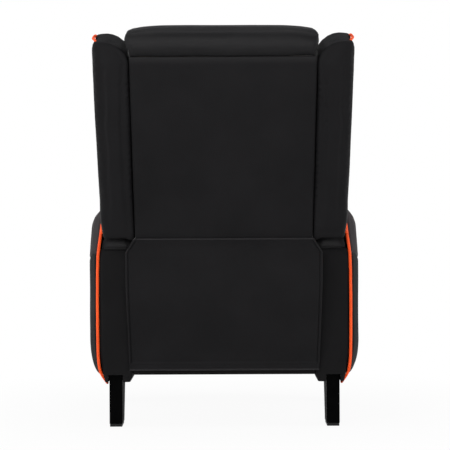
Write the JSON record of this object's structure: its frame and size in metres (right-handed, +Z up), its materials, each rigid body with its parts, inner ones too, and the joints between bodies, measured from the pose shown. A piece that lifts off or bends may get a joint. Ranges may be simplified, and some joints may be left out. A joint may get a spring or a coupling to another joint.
{
  "type": "gaming recliner",
  "caption": "Slim padded gaming recliner on four steel legs, with a reclining winged backrest, a gliding seat and a footrest on lazy tongs.",
  "frame": {"origin": "floor level, under the middle of the chair's bounding box", "axes": "+Z up, the chair faces -Y, and the sitter's left is +X"},
  "size_m": [0.7706, 0.9388, 1.0678],
  "materials": {
    "rear_rail": "stained black",
    "front_rail": "stained black",
    "rear_flap": "grained, satin",
    "arm_cover_left": "grained, satin",
    "arm_cover_right": "grained, satin",
    "arm_frame_left": "bare plywood",
    "arm_frame_right": "bare plywood",
    "arm_pad_left": "grained, satin",
    "arm_pad_right": "grained, satin",
    "arm_side_panel_left": "grained, satin",
    "arm_side_panel_right": "grained, satin",
    "arm_piping_left": "soft sheen",
    "arm_piping_right": "soft sheen",
    "rear_leg_left": "satin black",
    "rear_leg_right": "satin black",
    "front_leg_left": "satin black",
    "front_leg_right": "satin black",
    "rear_leg_glide_left": "matt black",
    "rear_leg_glide_right": "matt black",
    "front_leg_glide_left": "matt black",
    "front_leg_glide_right": "matt black",
    "base_rail_left": "bright zinc",
    "base_rail_right": "bright zinc",
    "back_frame": "bare plywood",
    "back_panel": "grained, satin",
    "lumbar_cushion": "grained, satin",
    "back_cushion": "grained, satin",
    "head_cushion": "grained, satin",
    "wing_left": "grained, satin",
    "wing_right": "grained, satin",
    "wing_piping_left": "soft sheen",
    "wing_piping_right": "soft sheen",
    "back_bracket_left": "bright zinc",
    "back_bracket_right": "bright zinc",
    "seat_frame": "bare plywood",
    "seat_cushion": "grained, satin",
    "seat_spring_1": "bright zinc",
    "seat_spring_2": "bright zinc",
    "seat_spring_3": "bright zinc",
    "seat_spring_4": "bright zinc",
    "seat_plate_left": "satin black",
    "seat_plate_right": "satin black",
    "glide_block_front_left": "natural nylon",
    "glide_block_front_right": "natural nylon",
    "glide_block_rear_left": "natural nylon",
    "glide_block_rear_right": "natural nylon",
    "link_a_left": "satin black",
    "link_a_right": "satin black",
    "footrest_torque_tube": "bright zinc",
    "link_b_left": "satin black",
    "link_c_left": "satin black",
    "link_d_left": "satin black",
    "link_b_right": "satin black",
    "link_c_right": "satin black",
    "link_d_right": "satin black",
    "footrest_board": "bare plywood",
    "footrest_pad": "grained, satin",
    "footrest_bracket_left": "satin black",
    "footrest_bracket_right": "satin black"
  },
  "bodies": {
    "base": {"rear_rail": "rear_rail", "front_rail": "front_rail", "rear_flap": "rear_flap", "arm_cover_left": "arm_cover_left", "arm_cover_right": "arm_cover_right", "arm_frame_left": "arm_frame_left", "arm_frame_right": "arm_frame_right", "arm_pad_left": "arm_pad_left", "arm_pad_right": "arm_pad_right", "arm_side_panel_left": "arm_side_panel_left", "arm_side_panel_right": "arm_side_panel_right", "arm_piping_left": "arm_piping_left", "arm_piping_right": "arm_piping_right", "rear_leg_left": "rear_leg_left", "rear_leg_right": "rear_leg_right", "front_leg_left": "front_leg_left", "front_leg_right": "front_leg_right", "rear_leg_glide_left": "rear_leg_glide_left", "rear_leg_glide_right": "rear_leg_glide_right", "front_leg_glide_left": "front_leg_glide_left", "front_leg_glide_right": "front_leg_glide_right", "base_rail_left": "base_rail_left", "base_rail_right": "base_rail_right"},
    "backrest": {"back_frame": "back_frame", "back_panel": "back_panel", "lumbar_cushion": "lumbar_cushion", "back_cushion": "back_cushion", "head_cushion": "head_cushion", "wing_left": "wing_left", "wing_right": "wing_right", "wing_piping_left": "wing_piping_left", "wing_piping_right": "wing_piping_right", "back_bracket_left": "back_bracket_left", "back_bracket_right": "back_bracket_right"},
    "seat": {"seat_frame": "seat_frame", "seat_cushion": "seat_cushion", "seat_spring_1": "seat_spring_1", "seat_spring_2": "seat_spring_2", "seat_spring_3": "seat_spring_3", "seat_spring_4": "seat_spring_4", "seat_plate_left": "seat_plate_left", "seat_plate_right": "seat_plate_right", "glide_block_front_left": "glide_block_front_left", "glide_block_front_right": "glide_block_front_right", "glide_block_rear_left": "glide_block_rear_left", "glide_block_rear_right": "glide_block_rear_right"},
    "links_a": {"link_a_left": "link_a_left", "link_a_right": "link_a_right", "footrest_torque_tube": "footrest_torque_tube"},
    "link_b_body_left": {"link_b_left": "link_b_left"},
    "link_c_body_left": {"link_c_left": "link_c_left"},
    "link_d_body_left": {"link_d_left": "link_d_left"},
    "link_b_body_right": {"link_b_right": "link_b_right"},
    "link_c_body_right": {"link_c_right": "link_c_right"},
    "link_d_body_right": {"link_d_right": "link_d_right"},
    "footrest": {"footrest_board": "footrest_board", "footrest_pad": "footrest_pad", "footrest_bracket_left": "footrest_bracket_left", "footrest_bracket_right": "footrest_bracket_right"}
  },
  "joints": [
    {"name": "back_recline", "type": "hinge", "parent": "base", "child": "backrest", "pos_m": [0, 0.2, 0.35], "axis": [-1, 0, 0], "range_deg": [0, 45], "deforming": ["rear_flap"]},
    {"name": "seat_glide", "type": "slide", "parent": "base", "child": "seat", "axis": [0, -1, 0], "range_m": [0, 0.0505]},
    {"name": "footrest_extend", "type": "hinge", "parent": "seat", "child": "links_a", "pos_m": [0, -0.335, 0.285], "axis": [-1, 0, 0], "range_deg": [0, 60]},
    {"name": "link_b_left_turn", "type": "hinge", "parent": "links_a", "child": "link_b_body_left", "pos_m": [0, -0.34889, 0.20622], "axis": [-1, 0, 0], "range_deg": [-120.5, 0.5]},
    {"name": "link_c_left_turn", "type": "hinge", "parent": "links_a", "child": "link_c_body_left", "pos_m": [0, -0.36278, 0.12743], "axis": [-1, 0, 0], "range_deg": [-120.5, 0.5]},
    {"name": "link_d_left_turn", "type": "hinge", "parent": "link_b_body_left", "child": "link_d_body_left", "pos_m": [0, -0.36278, 0.285], "axis": [-1, 0, 0], "range_deg": [-0.5, 120.5]},
    {"name": "link_b_right_turn", "type": "hinge", "parent": "links_a", "child": "link_b_body_right", "pos_m": [0, -0.34889, 0.20622], "axis": [-1, 0, 0], "range_deg": [-120.5, 0.5]},
    {"name": "link_c_right_turn", "type": "hinge", "parent": "links_a", "child": "link_c_body_right", "pos_m": [0, -0.36278, 0.12743], "axis": [-1, 0, 0], "range_deg": [-120.5, 0.5]},
    {"name": "link_d_right_turn", "type": "hinge", "parent": "link_b_body_right", "child": "link_d_body_right", "pos_m": [0, -0.36278, 0.285], "axis": [-1, 0, 0], "range_deg": [-0.5, 120.5]},
    {"name": "footrest_turn", "type": "hinge", "parent": "link_c_body_left", "child": "footrest", "pos_m": [0, -0.39057, 0.285], "axis": [-1, 0, 0], "range_deg": [-0.5, 150.5]}
  ],
  "couplings": [
    {"joint": "seat_glide", "follows": "back_recline", "m_per_rad": 0.063342},
    {"joint": "link_b_left_turn", "follows": "footrest_extend", "ratio": -2},
    {"joint": "link_c_left_turn", "follows": "footrest_extend", "ratio": -2},
    {"joint": "link_d_left_turn", "follows": "footrest_extend", "ratio": 2},
    {"joint": "link_b_right_turn", "follows": "footrest_extend", "ratio": -2},
    {"joint": "link_c_right_turn", "follows": "footrest_extend", "ratio": -2},
    {"joint": "link_d_right_turn", "follows": "footrest_extend", "ratio": 2},
    {"joint": "footrest_turn", "follows": "footrest_extend", "ratio": 2.5}
  ]
}
